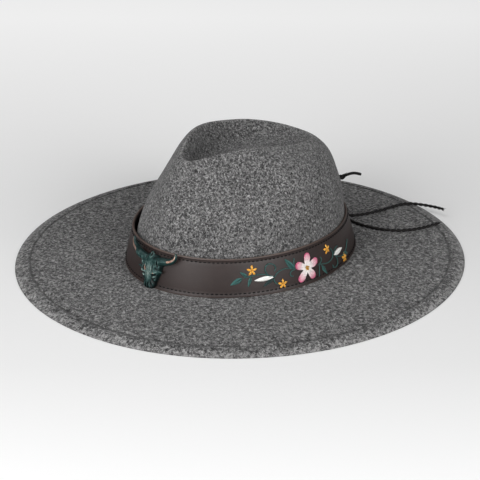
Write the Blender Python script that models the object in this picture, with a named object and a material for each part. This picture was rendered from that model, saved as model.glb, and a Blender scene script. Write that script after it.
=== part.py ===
"""A wide-brim felt fedora with a leather band, a cast longhorn skull and leather laces.

Metres, +Z up. The front of the hat faces -Y and the wearer's left is +X.
The hat stands on its brim at z = 0, with the origin under the middle of the brim.
Angles round the hat start at the front and grow towards the wearer's left.
"""
import math

import bmesh
import bpy
import numpy as np
from mathutils import Vector

# Driving sizes.
BRIM_LENGTH = 0.390
BRIM_WIDTH = 0.377
HEAD_LENGTH = 0.203
HEAD_WIDTH = 0.1702
CROWN_HEIGHT = 0.1125
FELT = 0.0025
BRIM_RISE = 0.0060
EDGE_THICKNESS = 0.0040
EDGE_WELT = 0.0130
WELT_STEP = 0.0004
FOOT_ROUND = 0.0036
BAND_HEIGHT = 0.0312
LEATHER = 0.0018
BAND_FLARE = 0.0034
BAND_EASE = 0.0005
BAND_FOLLOW = 0.4
BAND_GAP = 0.0120
SKULL_HEIGHT = 0.0262
SKULL_WIDTH = 0.0220
SKULL_RELIEF = 0.0070
HORN_SPAN = 0.0500
HORN_THICKNESS = 0.0066
HORN_TILT = -0.045
SKULL_FOOT = 0.0006
SKULL_ACROSS = 0.0037
SKULL_TURN = math.radians(3.0)
EDGE_OF_CAST = 0.0012
MUZZLE_DROOP = 0.24
RING_RADIUS = 0.0014
RING_WIRE = 0.0010
RING_LIFT = 0.55
RING_OUT = 0.45
RING_TURNS = (-50, -15, 20, 55, 90, 125, 160, 195, 230)
LACE_DIAMETER = 0.0025
LACE_HOLE = 0.0032
LACE_HOLE_ACROSS = BAND_GAP / 2 + 0.0065
KNOT_WIDTH = 0.0070
KNOT_SHAPE = (1.0, 0.62, 0.86)
KNOT_OUT = 0.0006
LACE_ROWS = (0.30, 0.76)
GAP = 0.0003

HOLE_REACH = 0.004
STUB_LENGTH = 0.0045
CORD_SPACING = 2.5 * LACE_DIAMETER

# How finely the shapes are cut.
COLUMNS = 72
FIRST_INNER_RING = 7
INNER_RINGS_LEFT_OUT = (8, 10, 13, 18, 20, 22, 24)
BAND_COLUMNS = 88
SKULL_RINGS = 15
SKULL_TURNS = (0, 22, 45, 68, 90, 112, 135, 158, 180)
HORN_RINGS = 18
ROUTE_STEPS = 400
SLOPE_STEP = 0.01

# The brim's rolled edge from its outermost line inwards, and the steps across the flat brim.
EDGE_RINGS = (
    # share_of_welt, share_of_thickness
    (0.00, 0.32),
    (0.03, 0.47),
    (0.12, 0.62),
    (0.45, 0.87),
    (0.92, 1.07),
    (1.00, 0.97),
)
WELT_END = 1.06
BRIM_STEPS = (0.2, 0.45, 0.7, 0.9, 1.0)
FOOT_TURNS = (25.0, 50.0, 75.0)
STRAIGHT_START = 1.3
STRAIGHT_LEAN = 0.997

# The crown by angle from the front, in degrees. The radii are shares of the head oval's radius:
# at the band's top, at three heights of the wall above it, and at the ridge round the top dent.
# The last column is the ridge's height as a share of the crown's.
CROWN_SECTIONS = (
    # angle, band, low, middle, high, ridge, ridge_height
    (0, 0.950, 0.910, 0.830, 0.740, 0.640, 0.930),
    (20, 0.955, 0.885, 0.755, 0.640, 0.520, 0.970),
    (45, 0.957, 0.855, 0.715, 0.585, 0.455, 1.000),
    (70, 0.957, 0.880, 0.765, 0.640, 0.450, 0.995),
    (95, 0.955, 0.925, 0.850, 0.735, 0.470, 0.975),
    (120, 0.948, 0.935, 0.880, 0.780, 0.530, 0.945),
    (140, 0.942, 0.926, 0.865, 0.790, 0.600, 0.920),
    (160, 0.942, 0.920, 0.865, 0.805, 0.665, 0.885),
    (180, 0.945, 0.925, 0.875, 0.805, 0.700, 0.860),
)
WALL_HEIGHTS = (0.30, 0.58, 0.82)
CREST_TURN = 0.4
WALL_STEPS = (0.0, 0.5, 1.0, 1.5, 2.0, 2.5, 3.0, 3.5, 4.0, 4.4, 4.76)

# How much further in the wearer's right side stands at the front, as a share of the head oval.
RIGHT_PINCH = (
    # angle, share
    (0, 0.016),
    (-25, 0.036),
    (-50, 0.050),
    (-75, 0.036),
    (-100, 0.010),
    (-125, 0.000),
    (180, 0.000),
    (25, 0.004),
)
FOOT_PINCH = 0.6
PINCH_FADE = 0.6
RIDGE_PINCH = 0.2

# The top dent from its middle out to the ridge, and how far each ring has climbed.
DENT_RINGS = (
    # share_of_ridge_radius, share_of_climb
    (0.95, 0.90),
    (0.88, 0.64),
    (0.80, 0.32),
    (0.71, 0.10),
    (0.52, 0.02),
    (0.26, 0.00),
)
DENT_DEPTH = 0.0230

# The band's own outline, from its outer face over the top to the inner face and back.
BAND_SECTION = (
    # share_of_height, inside, trim_as_share_of_leather
    (0.02, False, 0.0),
    (0.98, False, 0.0),
    (1.00, False, 0.3),
    (1.00, True, -0.3),
    (0.98, True, 0.0),
    (0.02, True, 0.0),
    (0.00, True, -0.3),
    (0.00, False, 0.3),
)

# The skull from muzzle to forehead: height, half width and relief as shares of its own sizes.
SKULL_SECTIONS = (
    # height, half_width, relief
    (0.00, 0.38, 0.60),
    (0.06, 0.46, 0.78),
    (0.15, 0.53, 0.84),
    (0.25, 0.61, 0.86),
    (0.34, 0.70, 0.88),
    (0.46, 0.80, 0.92),
    (0.57, 0.88, 0.98),
    (0.71, 0.96, 1.00),
    (0.80, 0.95, 0.98),
    (0.90, 0.80, 0.84),
    (1.00, 0.47, 0.55),
)

SKULL_PIVOT = 0.8
DOME_POWER = 0.7
CAP_OUT = 0.4
CAP_REACH = 0.0004

# One horn from its root to its tip: place across and up the band, standing out and thickness.
HORN_ROUTE = (
    # share_of_half_span, share_of_skull_height, share_of_relief, share_of_thickness
    (0.16, 0.86, 0.40, 1.00),
    (0.38, 0.89, 0.50, 1.00),
    (0.58, 0.92, 0.58, 0.93),
    (0.77, 0.955, 0.66, 0.80),
    (0.91, 1.03, 0.74, 0.66),
    (0.975, 1.12, 0.80, 0.50),
    (0.99, 1.19, 0.82, 0.34),
    (0.98, 1.25, 0.82, 0.16),
)

# A lace from its left hole over the opening to its right hole.
LACE_STOPS = (
    # share_of_hole_distance, out_as_share_of_lace
    (-1.00, -0.54),
    (-1.00, 0.45),
    (-0.86, 0.78),
    (-0.45, 0.95),
    (0.00, 1.00),
    (0.45, 0.95),
    (0.86, 0.78),
    (1.00, 0.45),
    (1.00, -0.54),
)

# Routes of the free lace ends, in metres, from the knots at the back of the band.
CORD_A = (
    # x, y, z
    (0.0006, 0.1122, 0.0136),
    (0.0042, 0.1158, 0.0104),
    (0.0106, 0.1172, 0.0082),
    (0.0173, 0.1182, 0.0074),
    (0.0244, 0.1310, 0.0070),
    (0.0287, 0.1500, 0.0066),
    (0.0301, 0.1660, 0.0063),
    (0.0345, 0.1795, 0.0061),
    (0.0415, 0.1840, 0.0060),
    (0.0547, 0.1877, 0.0067),
    (0.0674, 0.1878, 0.0079),
)
CORD_B = (
    # x, y, z
    (0.0044, 0.1098, 0.0132),
    (0.0092, 0.1108, 0.0101),
    (0.0160, 0.1114, 0.0080),
    (0.0251, 0.1100, 0.0074),
    (0.0373, 0.1095, 0.0073),
    (0.0515, 0.1130, 0.0072),
    (0.0621, 0.1184, 0.0070),
    (0.0708, 0.1260, 0.0068),
    (0.0768, 0.1366, 0.0066),
    (0.0804, 0.1501, 0.0063),
    (0.0823, 0.1644, 0.0060),
)
TAIL_ROUTE = (
    # x, y, z
    (0.0009, 0.1066, 0.0318),
    (0.0024, 0.1110, 0.0350),
    (0.0042, 0.1170, 0.0382),
    (0.0052, 0.1265, 0.0404),
    (0.0069, 0.1348, 0.0402),
    (0.0086, 0.1412, 0.0378),
)


def clear_scene():
    for thing in list(bpy.data.objects):
        bpy.data.objects.remove(thing, do_unlink=True)


def part_collection():
    collection = bpy.data.collections.new("wide_brim_fedora")
    bpy.context.scene.collection.children.link(collection)
    return collection


def material(name, colour, roughness, metallic=0.0):
    made = bpy.data.materials.new(name)
    made.use_nodes = True
    shader = made.node_tree.nodes["Principled BSDF"]
    shader.inputs["Base Color"].default_value = (*colour, 1.0)
    shader.inputs["Roughness"].default_value = roughness
    shader.inputs["Metallic"].default_value = metallic
    made.diffuse_color = (*colour, 1.0)
    return made


def add_object(collection, name, mesh, surface):
    thing = bpy.data.objects.new(name, mesh)
    mesh.materials.append(surface)
    mesh.shade_smooth()
    mesh.set_sharp_from_angle(angle=math.radians(50))
    collection.objects.link(thing)
    return thing


def oval(length, width, angle):
    """Radius of an oval of that length (front to back) and width, in the direction of the angle."""
    return 1.0 / np.sqrt((np.cos(angle) / (length / 2)) ** 2 + (np.sin(angle) / (width / 2)) ** 2)


def place(radius, angle, height):
    """Point at that radius and angle from the front, at that height."""
    return np.stack([radius * np.sin(angle), -radius * np.cos(angle), height + 0.0 * angle], axis=-1)


def smooth_round(rows, angle):
    """Reads a table of (angle, values...) at any angle, as a smooth closed curve through its rows."""
    rows = sorted((math.radians(row[0]) % math.tau, *row[1:]) for row in rows)
    knots = np.array([row[0] for row in rows])
    values = np.array([row[1:] for row in rows], dtype=float)
    knots = np.concatenate([knots[-2:] - math.tau, knots, knots[:2] + math.tau])
    values = np.concatenate([values[-2:], values, values[:2]])
    angle = np.mod(angle, math.tau)
    return smooth_along(knots, values, angle)


def smooth_along(knots, values, at):
    """Cubic curve through the knots, with the slope at each taken from its two neighbours."""
    slopes = np.gradient(values, knots, axis=0)
    index = np.clip(np.searchsorted(knots, at, side="right") - 1, 0, len(knots) - 2)
    step = (knots[index + 1] - knots[index])[..., None]
    share = (at - knots[index])[..., None] / step
    start, end = values[index], values[index + 1]
    rise_start, rise_end = slopes[index] * step, slopes[index + 1] * step
    return (
        (2 * share**3 - 3 * share**2 + 1) * start
        + (share**3 - 2 * share**2 + share) * rise_start
        + (3 * share**2 - 2 * share**3) * end
        + (share**3 - share**2) * rise_end
    )


def mirrored(rows):
    """The rows of one side, with the same rows on the other side."""
    return list(rows) + [(-row[0], *row[1:]) for row in rows if 0 < row[0] < 180]


def foot_radius(angle):
    """Radius of the felt where the crown rises from the brim."""
    pinch = smooth_round(RIGHT_PINCH, angle)[..., 0]
    return oval(HEAD_LENGTH, HEAD_WIDTH, angle) * (1.0 - FOOT_PINCH * pinch)


def brim_rings(angle):
    """Rings of the brim's upper face from its outermost line to the foot of the crown."""
    edge = oval(BRIM_LENGTH, BRIM_WIDTH, angle)
    foot = foot_radius(angle) + FOOT_ROUND
    flat_top = EDGE_THICKNESS + WELT_STEP
    rings = [
        place(edge - inset * EDGE_WELT, angle, rise * EDGE_THICKNESS)
        for inset, rise in EDGE_RINGS
    ]
    inner = edge - WELT_END * EDGE_WELT
    rings.append(place(inner, angle, flat_top))
    for share in BRIM_STEPS:
        height = flat_top + (BRIM_RISE - flat_top) * share
        rings.append(place(inner + (foot - inner) * share, angle, height))
    return rings


def wall_rings(angle):
    """Rings of the crown's outer face from the turn at its foot up to the ridge."""
    head = oval(HEAD_LENGTH, HEAD_WIDTH, angle)
    foot = foot_radius(angle)
    shares = smooth_round(mirrored(CROWN_SECTIONS), angle)
    pinch = smooth_round(RIGHT_PINCH, angle)[..., 0]
    band, low, middle, high, ridge, ridge_height = np.moveaxis(shares, -1, 0)
    top = CROWN_HEIGHT * ridge_height
    start = band_height(1.0)
    rings = []
    for turn in FOOT_TURNS:
        across = FOOT_ROUND * (1 - math.sin(math.radians(turn)))
        up = FOOT_ROUND * (1 - math.cos(math.radians(turn)))
        rings.append(place(foot + across, angle, BRIM_RISE + up))
    heights = [BRIM_RISE + STRAIGHT_START * FOOT_ROUND + 0.0 * angle, start + 0.0 * angle]
    radii = [foot * STRAIGHT_LEAN, head * (band - pinch)]
    for share, radius in zip(WALL_HEIGHTS, (low, middle, high)):
        heights.append(start + (top - start) * share)
        radii.append(head * (radius - pinch * (1 - PINCH_FADE * share)))
    heights.append(top)
    ridge_radius = head * (ridge - RIDGE_PINCH * pinch)
    radii.append(ridge_radius)
    heights.append(heights[-2] + CREST_TURN * (top - heights[-2]))
    radii.append(head * (2 * ridge - high))
    knots = np.arange(len(radii), dtype=float)
    track = np.stack([np.stack(radii), np.stack(heights)], axis=-1)
    for step in WALL_STEPS:
        point = smooth_along(knots, track, np.array(step))
        rings.append(place(point[:, 0], angle, point[:, 1]))
    return rings, ridge_radius, top


def crown_rings(angle):
    """All rings of the felt's upper face, from the edge of the brim to the middle of the dent."""
    rings = brim_rings(angle)
    wall, ridge, top = wall_rings(angle)
    rings += wall
    floor = CROWN_HEIGHT - DENT_DEPTH
    rings.append(place(ridge, angle, top))
    for share, climb in DENT_RINGS:
        rings.append(place(ridge * share, angle, floor + (top - floor) * climb))
    return np.stack(rings), np.array([0.0, 0.0, floor])


def normals(rings, pole):
    """Outward normals of a grid of rings that ends in one point."""
    closed = np.concatenate([rings, np.broadcast_to(pole, (1, *rings.shape[1:]))])
    along = np.gradient(closed, axis=0)[:-1]
    around = np.roll(rings, -1, axis=1) - np.roll(rings, 1, axis=1)
    normal = np.cross(around, along)
    return normal / np.linalg.norm(normal, axis=-1, keepdims=True)


def lofted(name, rings, first_pole, last_pole):
    """Closed mesh through rings of points, with one point at each end."""
    shape = bmesh.new()
    start = shape.verts.new(first_pole)
    loops = [[shape.verts.new(point) for point in ring] for ring in rings]
    end = shape.verts.new(last_pole)
    count = len(loops[0])
    for i in range(count):
        j = (i + 1) % count
        shape.faces.new((start, loops[0][j], loops[0][i]))
        for lower, upper in zip(loops, loops[1:]):
            shape.faces.new((lower[i], lower[j], upper[j], upper[i]))
        shape.faces.new((loops[-1][i], loops[-1][j], end))
    bmesh.ops.recalc_face_normals(shape, faces=shape.faces)
    mesh = bpy.data.meshes.new(name)
    shape.to_mesh(mesh)
    shape.free()
    return mesh


def make_felt(collection):
    """Crown and brim, one piece of felt with the head's hollow below and a welted edge."""
    angle = np.arange(COLUMNS) * math.tau / COLUMNS
    upper, pole = crown_rings(angle)
    normal = normals(upper, pole)
    edge = oval(BRIM_LENGTH, BRIM_WIDTH, angle)
    under = [
        place(edge - 0.03 * EDGE_WELT, angle, 0.13 * EDGE_THICKNESS),
        place(edge - 0.12 * EDGE_WELT, angle, 0.0),
        place(edge - 0.96 * EDGE_WELT, angle, 0.0),
        place(edge - WELT_END * EDGE_WELT, angle, EDGE_THICKNESS + WELT_STEP - FELT),
    ]
    inner = [
        upper[row] - FELT * normal[row]
        for row in range(FIRST_INNER_RING, len(upper))
        if row not in INNER_RINGS_LEFT_OUT
    ]
    rings = inner[::-1] + under[::-1] + list(upper)
    mesh = lofted("crown_and_brim", rings, pole - np.array([0, 0, FELT]), pole)
    return add_object(collection, "crown_and_brim", mesh, material("grey_felt", (0.13, 0.13, 0.13), 0.95))


def band_radius(angle, share, inside=False):
    """Radius of the band at that share of its height, on its outer or inner face."""
    angle = np.asarray(angle, dtype=float)
    felt_share = smooth_round(mirrored(CROWN_SECTIONS), angle)[..., 0]
    pinch = smooth_round(RIGHT_PINCH, angle)[..., 0]
    head = oval(HEAD_LENGTH, HEAD_WIDTH, angle) * (1.0 - BAND_FOLLOW * pinch)
    top = head * felt_share + BAND_EASE
    bottom = head + BAND_FLARE
    radius = bottom + (top - bottom) * share
    return radius if inside else radius + LEATHER


def band_height(share):
    return BRIM_RISE + GAP + BAND_HEIGHT * share


def band_place(angle, share):
    return place(band_radius(angle, share), np.asarray(angle), band_height(share))


def band_point(across, share, out, start=0.0):
    """Point over the band: arc length from the start angle, share of its height, distance outwards."""
    angle = angle_at(across, start)
    ahead = band_place(angle + SLOPE_STEP, share) - band_place(angle - SLOPE_STEP, share)
    up = band_place(angle, share + SLOPE_STEP) - band_place(angle, share - SLOPE_STEP)
    normal = np.cross(ahead, up)
    normal /= np.linalg.norm(normal)
    return band_place(angle, share) + out * normal


def angle_at(across, start):
    """Angle round the hat after that arc length along the band's outer face from the start angle."""
    steps = 40
    angle = start
    for _ in range(steps):
        radius = float(band_radius(angle, 0.5))
        angle += across / steps / radius
    return angle


def make_band(collection):
    """Leather band round the foot of the crown, open at the back where the laces close it."""
    half_open = BAND_GAP / 2 / float(band_radius(math.pi, 0.5))
    angle = np.linspace(-math.pi + half_open, math.pi - half_open, BAND_COLUMNS + 1)
    shape = bmesh.new()
    loops = []
    for share, inside, trim in BAND_SECTION:
        radius = band_radius(angle, share, inside) - trim * LEATHER
        loops.append([shape.verts.new(point) for point in place(radius, angle, band_height(share))])
    around = len(loops)
    for k in range(around):
        here, there = loops[k], loops[(k + 1) % around]
        for i in range(len(angle) - 1):
            shape.faces.new((here[i], here[i + 1], there[i + 1], there[i]))
    shape.faces.new([loop[0] for loop in loops])
    shape.faces.new([loop[-1] for loop in reversed(loops)])
    bmesh.ops.recalc_face_normals(shape, faces=shape.faces)
    mesh = bpy.data.meshes.new("hat_band")
    shape.to_mesh(mesh)
    shape.free()
    band = add_object(collection, "hat_band", mesh, material("brown_leather", (0.035, 0.026, 0.024), 0.45))
    return band


def skull_point(across, up, out):
    """Point on or over the band, from the skull's middle: metres across, up the band and outwards."""
    pivot = SKULL_PIVOT * SKULL_HEIGHT
    turned_across = across * math.cos(SKULL_TURN) + (pivot - up) * math.sin(SKULL_TURN)
    turned_up = pivot + across * math.sin(SKULL_TURN) + (up - pivot) * math.cos(SKULL_TURN)
    droop = MUZZLE_DROOP * out * max(0.0, 1.0 - up / SKULL_HEIGHT)
    share = (SKULL_FOOT + turned_up - droop) / BAND_HEIGHT
    return band_point(SKULL_ACROSS + turned_across, share, GAP + out)


def skull_face(collection, surface):
    """The head of the skull: a domed lens on a back that follows the band."""
    rows = np.array(SKULL_SECTIONS)
    steps = np.linspace(0.0, 1.0, SKULL_RINGS)
    half_width, relief = np.moveaxis(smooth_along(rows[:, 0], rows[:, 1:], steps), -1, 0)
    turns = np.radians(SKULL_TURNS)
    rings = []
    for step, wide, deep in zip(steps, half_width, relief):
        up = step * SKULL_HEIGHT
        ring = []
        for turn in turns:
            side = math.cos(turn) * wide * SKULL_WIDTH / 2
            out = EDGE_OF_CAST + (deep * SKULL_RELIEF - EDGE_OF_CAST) * math.sin(turn) ** DOME_POWER
            ring.append(skull_point(side, up, out))
        for turn in turns[::-2]:
            ring.append(skull_point(math.cos(turn) * wide * SKULL_WIDTH / 2, up, 0.0))
        rings.append(ring)
    start = skull_point(0.0, -CAP_REACH, CAP_OUT * SKULL_RELIEF * SKULL_SECTIONS[0][2])
    end = skull_point(0.0, SKULL_HEIGHT + CAP_REACH, CAP_OUT * SKULL_RELIEF * SKULL_SECTIONS[-1][2])
    mesh = lofted("skull_ornament", rings, start, end)
    return add_object(collection, "skull_ornament", mesh, surface)


def tube_mesh(name, points, radii, sides=10):
    """Closed tube through the points with its own radius at each, as a mesh."""
    curve = bpy.data.curves.new(name, "CURVE")
    curve.dimensions = "3D"
    curve.bevel_depth = 1.0
    curve.bevel_resolution = max(0, (sides - 4) // 2)
    curve.use_fill_caps = True
    curve.resolution_u = 1
    curve.render_resolution_u = 0
    spline = curve.splines.new("POLY")
    spline.points.add(len(points) - 1)
    for knot, point, radius in zip(spline.points, points, radii):
        knot.co = (*point, 1.0)
        knot.radius = radius
    thing = bpy.data.objects.new(name, curve)
    bpy.context.scene.collection.objects.link(thing)
    evaluated = thing.evaluated_get(bpy.context.evaluated_depsgraph_get())
    mesh = bpy.data.meshes.new_from_object(evaluated)
    bpy.data.objects.remove(thing)
    shape = bmesh.new()
    shape.from_mesh(mesh)
    bmesh.ops.remove_doubles(shape, verts=shape.verts, dist=1e-7)
    bmesh.ops.recalc_face_normals(shape, faces=shape.faces)
    shape.to_mesh(mesh)
    shape.free()
    return mesh


def fuse(base, mesh):
    """Joins a closed mesh to an object with an exact union and applies it."""
    tool = bpy.data.objects.new("fused_piece", mesh)
    bpy.context.scene.collection.objects.link(tool)
    union = base.modifiers.new("union", "BOOLEAN")
    union.operation = "UNION"
    union.object = tool
    evaluated = base.evaluated_get(bpy.context.evaluated_depsgraph_get())
    joined = bpy.data.meshes.new_from_object(evaluated)
    base.modifiers.clear()
    base.data = joined
    bpy.data.objects.remove(tool)


def horn_points(side):
    rows = np.array(HORN_ROUTE)
    knots = np.linspace(0.0, 1.0, len(rows))
    across, up, out, thick = np.moveaxis(smooth_along(knots, rows, np.linspace(0, 1, HORN_RINGS)), -1, 0)
    reach = side * across * HORN_SPAN / 2
    points = [
        skull_point(a, u * SKULL_HEIGHT + HORN_TILT * a, EDGE_OF_CAST + o * SKULL_RELIEF)
        for a, u, o in zip(reach, up, out)
    ]
    return points, thick * HORN_THICKNESS / 2


def make_skull(collection):
    """Cast skull with two horns and a small ring on its crown, one piece of metal."""
    surface = material("green_patina", (0.03, 0.12, 0.10), 0.5, 0.6)
    skull = skull_face(collection, surface)
    for side in (-1, 1):
        points, radii = horn_points(side)
        fuse(skull, tube_mesh("horn", points, radii))
    ring = []
    for turn in np.radians(RING_TURNS):
        across = RING_RADIUS * math.cos(turn)
        up = SKULL_HEIGHT + RING_RADIUS * (RING_LIFT + math.sin(turn))
        ring.append(skull_point(across, up, RING_OUT * SKULL_RELIEF))
    fuse(skull, tube_mesh("ring", ring, [RING_WIRE / 2] * len(ring), 6))
    skull.data.shade_smooth()
    skull.data.set_sharp_from_angle(angle=math.radians(50))
    return skull


def cut_lace_holes(band):
    """Four round holes beside the band's two ends, for the laces."""
    for share in LACE_ROWS:
        for side in (-1, 1):
            start = band_point(side * LACE_HOLE_ACROSS, share, HOLE_REACH, math.pi)
            end = band_point(side * LACE_HOLE_ACROSS, share, -HOLE_REACH - LEATHER, math.pi)
            tool = bpy.data.objects.new("hole", tube_mesh("hole", [start, end], [LACE_HOLE / 2] * 2, 12))
            bpy.context.scene.collection.objects.link(tool)
            cut = band.modifiers.new("cut", "BOOLEAN")
            cut.operation = "DIFFERENCE"
            cut.object = tool
            evaluated = band.evaluated_get(bpy.context.evaluated_depsgraph_get())
            cut_mesh = bpy.data.meshes.new_from_object(evaluated)
            band.modifiers.clear()
            band.data = cut_mesh
            bpy.data.objects.remove(tool)


def make_lace(collection, name, share, surface, ends):
    """A lace across the band's opening, from hole to hole, with a knot and a stub for each free end."""
    points = [
        band_point(across * LACE_HOLE_ACROSS, share, out * LACE_DIAMETER, math.pi)
        for across, out in LACE_STOPS
    ]
    mesh = tube_mesh(name, points, [LACE_DIAMETER / 2] * len(points), 8)
    lace = add_object(collection, name, mesh, surface)
    centre = Vector(band_point(0.0, share, LACE_DIAMETER, math.pi))
    knot = bmesh.new()
    bmesh.ops.create_uvsphere(knot, u_segments=16, v_segments=8, radius=KNOT_WIDTH / 2)
    bmesh.ops.scale(knot, vec=KNOT_SHAPE, verts=knot.verts)
    bmesh.ops.translate(knot, vec=centre + Vector((0, KNOT_OUT, 0)), verts=knot.verts)
    knot_mesh = bpy.data.meshes.new("knot")
    knot.to_mesh(knot_mesh)
    knot.free()
    fuse(lace, knot_mesh)
    for start, direction in ends:
        away = Vector(direction).normalized()
        stub = [Vector(start) - away * STUB_LENGTH, Vector(start) - away * GAP]
        fuse(lace, tube_mesh("stub", stub, [LACE_DIAMETER / 2] * 2, 8))
    return lace


def smooth_route(points):
    """Points at an even spacing along a smooth curve through the route's own points."""
    points = np.array(points, dtype=float)
    lengths = np.concatenate([[0.0], np.cumsum(np.linalg.norm(np.diff(points, axis=0), axis=1))])
    fine = smooth_along(lengths, points, np.linspace(0.0, lengths[-1], ROUTE_STEPS))
    run = np.concatenate([[0.0], np.cumsum(np.linalg.norm(np.diff(fine, axis=0), axis=1))])
    count = max(4, round(run[-1] / CORD_SPACING) + 1)
    even = np.linspace(0.0, run[-1], count)
    return np.stack([np.interp(even, run, fine[:, k]) for k in range(3)], axis=-1)


def make_cord(collection, name, route, surface):
    """Free end of a lace: a tube of its full length on a smooth curve."""
    points = smooth_route(route)
    curve = bpy.data.curves.new(name, "CURVE")
    curve.dimensions = "3D"
    curve.bevel_depth = LACE_DIAMETER / 2
    curve.bevel_resolution = 2
    curve.use_fill_caps = True
    curve.resolution_u = 1
    curve.render_resolution_u = 0
    spline = curve.splines.new("POLY")
    spline.points.add(len(points) - 1)
    for knot, point in zip(spline.points, points):
        knot.co = (*point, 1.0)
    curve.materials.append(surface)
    cord = bpy.data.objects.new(name, curve)
    collection.objects.link(cord)
    return cord


def cord_exit(route):
    """Start of a free end and the way it leaves the knot."""
    start, following = smooth_route(route)[:2]
    return start, following - start


def main():
    clear_scene()
    collection = part_collection()
    make_felt(collection)
    band = make_band(collection)
    cut_lace_holes(band)
    make_skull(collection)
    lace = material("black_lace", (0.02, 0.02, 0.02), 0.7)
    make_lace(collection, "back_lace_upper", LACE_ROWS[1], lace, [cord_exit(TAIL_ROUTE)])
    make_lace(collection, "back_lace_lower", LACE_ROWS[0], lace, [cord_exit(CORD_A), cord_exit(CORD_B)])
    make_cord(collection, "cord_end_far", CORD_A, lace)
    make_cord(collection, "cord_end_near", CORD_B, lace)
    make_cord(collection, "cord_tail", TAIL_ROUTE, lace)


main()
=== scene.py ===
"""Looks of a wide-brim felt hat: its felt, leather band, embroidery, cast skull and twisted laces."""
import functools
import math
import random

import bmesh
import bpy
import numpy as np
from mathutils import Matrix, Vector
from mathutils.bvhtree import BVHTree


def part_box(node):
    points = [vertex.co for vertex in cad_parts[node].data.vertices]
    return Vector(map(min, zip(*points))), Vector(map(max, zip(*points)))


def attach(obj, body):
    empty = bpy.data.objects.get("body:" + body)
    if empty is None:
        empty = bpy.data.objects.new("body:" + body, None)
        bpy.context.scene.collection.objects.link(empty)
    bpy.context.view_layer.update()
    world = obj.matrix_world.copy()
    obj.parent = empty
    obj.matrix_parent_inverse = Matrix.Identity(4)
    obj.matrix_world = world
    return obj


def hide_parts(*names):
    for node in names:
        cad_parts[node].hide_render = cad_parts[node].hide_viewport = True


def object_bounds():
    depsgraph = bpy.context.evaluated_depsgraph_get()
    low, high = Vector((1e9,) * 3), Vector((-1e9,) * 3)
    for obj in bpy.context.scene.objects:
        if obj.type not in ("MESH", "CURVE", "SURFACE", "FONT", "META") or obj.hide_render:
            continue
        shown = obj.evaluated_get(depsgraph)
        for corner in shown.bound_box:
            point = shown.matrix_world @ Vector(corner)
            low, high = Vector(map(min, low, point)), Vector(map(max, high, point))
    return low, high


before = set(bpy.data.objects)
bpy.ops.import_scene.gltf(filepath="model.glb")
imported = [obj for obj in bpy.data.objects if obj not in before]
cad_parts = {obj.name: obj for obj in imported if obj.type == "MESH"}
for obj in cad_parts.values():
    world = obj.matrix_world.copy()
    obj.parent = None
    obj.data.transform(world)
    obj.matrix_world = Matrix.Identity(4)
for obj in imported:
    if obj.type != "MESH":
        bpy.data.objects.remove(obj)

random.seed(7)
CAD_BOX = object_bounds()
MM = 0.001

# The photograph's camera.
CAMERA_AZIMUTH = math.radians(46.0)
CAMERA_ELEVATION = math.radians(23.89)
CAMERA_DISTANCE = 1.5
FOCAL_PIXELS = 1755.0
FRAME_PIXELS = 480.0
SENSOR = 36.0
AIM_RIGHT = -0.00062
AIM_UP = 0.0139

# Lights: azimuth and elevation in degrees, distance and size in metres, power in watts.
LIGHTS = (
    # name, azimuth, elevation, distance, size, power
    ("key", 10.0, 22.0, 1.8, 1.1, 23.0),
    ("side", 82.0, 22.0, 1.8, 1.1, 23.0),
    ("top", -22.0, 65.0, 1.8, 1.1, 11.5),
)
WORLD_STRENGTH = 0.09

# The floor's painted shading and painted light from in front of the hat to behind it, as the camera sees
# it: paler in front, darker round the hat and glowing behind it.
FLOOR_RADIUS = 30.0
FLOOR_START = 0.5
FLOOR_RUN = 2.0
FLOOR_PAINTED_SHADING = ((0.03, 0.94), (0.15, 0.83), (0.28, 0.84), (0.42, 0.88))
FLOOR_PAINTED_GLOW = ((0.27, 0.0), (0.42, 0.17), (0.60, 0.40), (0.90, 0.50))

# The band, as its solid has it.
BAND_NODE = "hat_band"
BAND_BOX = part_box(BAND_NODE)
BAND_LOW = BAND_BOX[0][2]
BAND_HEIGHT = BAND_BOX[1][2] - BAND_LOW
LEATHER = 0.0018
BAND_GAP = 0.0120
LACE_HOLE_ACROSS = BAND_GAP / 2 + 0.0065
LACE_HOLE = 0.0032
LACE_ROWS = (0.30, 0.76)

# The strap's section: its raised lips, stitch grooves and low crown.
BAND_RINGS = 560
LIP_WIDTH = 0.0016
LIP_RISE = 0.000300
LIP_REACH = 2.2 * LIP_WIDTH
EDGE_ROUNDING = 0.00012
GROOVE_AT = 0.0030
GROOVE_HALF = 0.00055
GROOVE_DEPTH = 0.00022
PANEL_CROWN = 0.00030
# How far from each edge the painted highlight along the strap's edges reaches.
EDGE_HIGHLIGHT_REACH = 0.0009

# How the strap lies: slow waves, and its top edge leaning in on one side of the hat.
WAVE_OUT = 0.00016
WAVE_UP = 0.00014
TOP_LEAN = 0.00045
TOP_LEAN_AT = math.radians(136)

# The lockstitch along the strap's edges.
STITCH_PITCH = 0.0037
STITCH_LENGTH = 0.0022
STITCH_RADIUS = 0.00052
STITCH_ARCH = 0.00030
STITCH_SLANT = 0.00012
STITCH_TAPER = np.array([0.60, 0.95, 1.0, 0.95, 0.60])
STITCH_MARGIN = 0.003
THREAD_BLACK = (0.0014, 0.0011, 0.0011)

# The skull, as its solid has it.
SKULL_HEIGHT = 0.0262
SKULL_FOOT = 0.0006
SKULL_ACROSS = 0.0037
SKULL_TURN = math.radians(3.0)
SKULL_PIVOT = 0.8
MUZZLE_DROOP = 0.24
SKULL_VOXEL = 0.00026

# What is added to the skull: ear spikes in metres, and in millimetres the fuller horns, the lean of
# the horn on the wearer's right and the fuller cheeks.
EAR_START = 0.0082
EAR_LENGTH = 0.0046
EAR_HEIGHT = 0.0136
EAR_RADIUS = 0.0017
HORN_FULLER = 0.34
HORN_LEAN = 2.2
CHEEK_FULLER = 0.9
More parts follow.
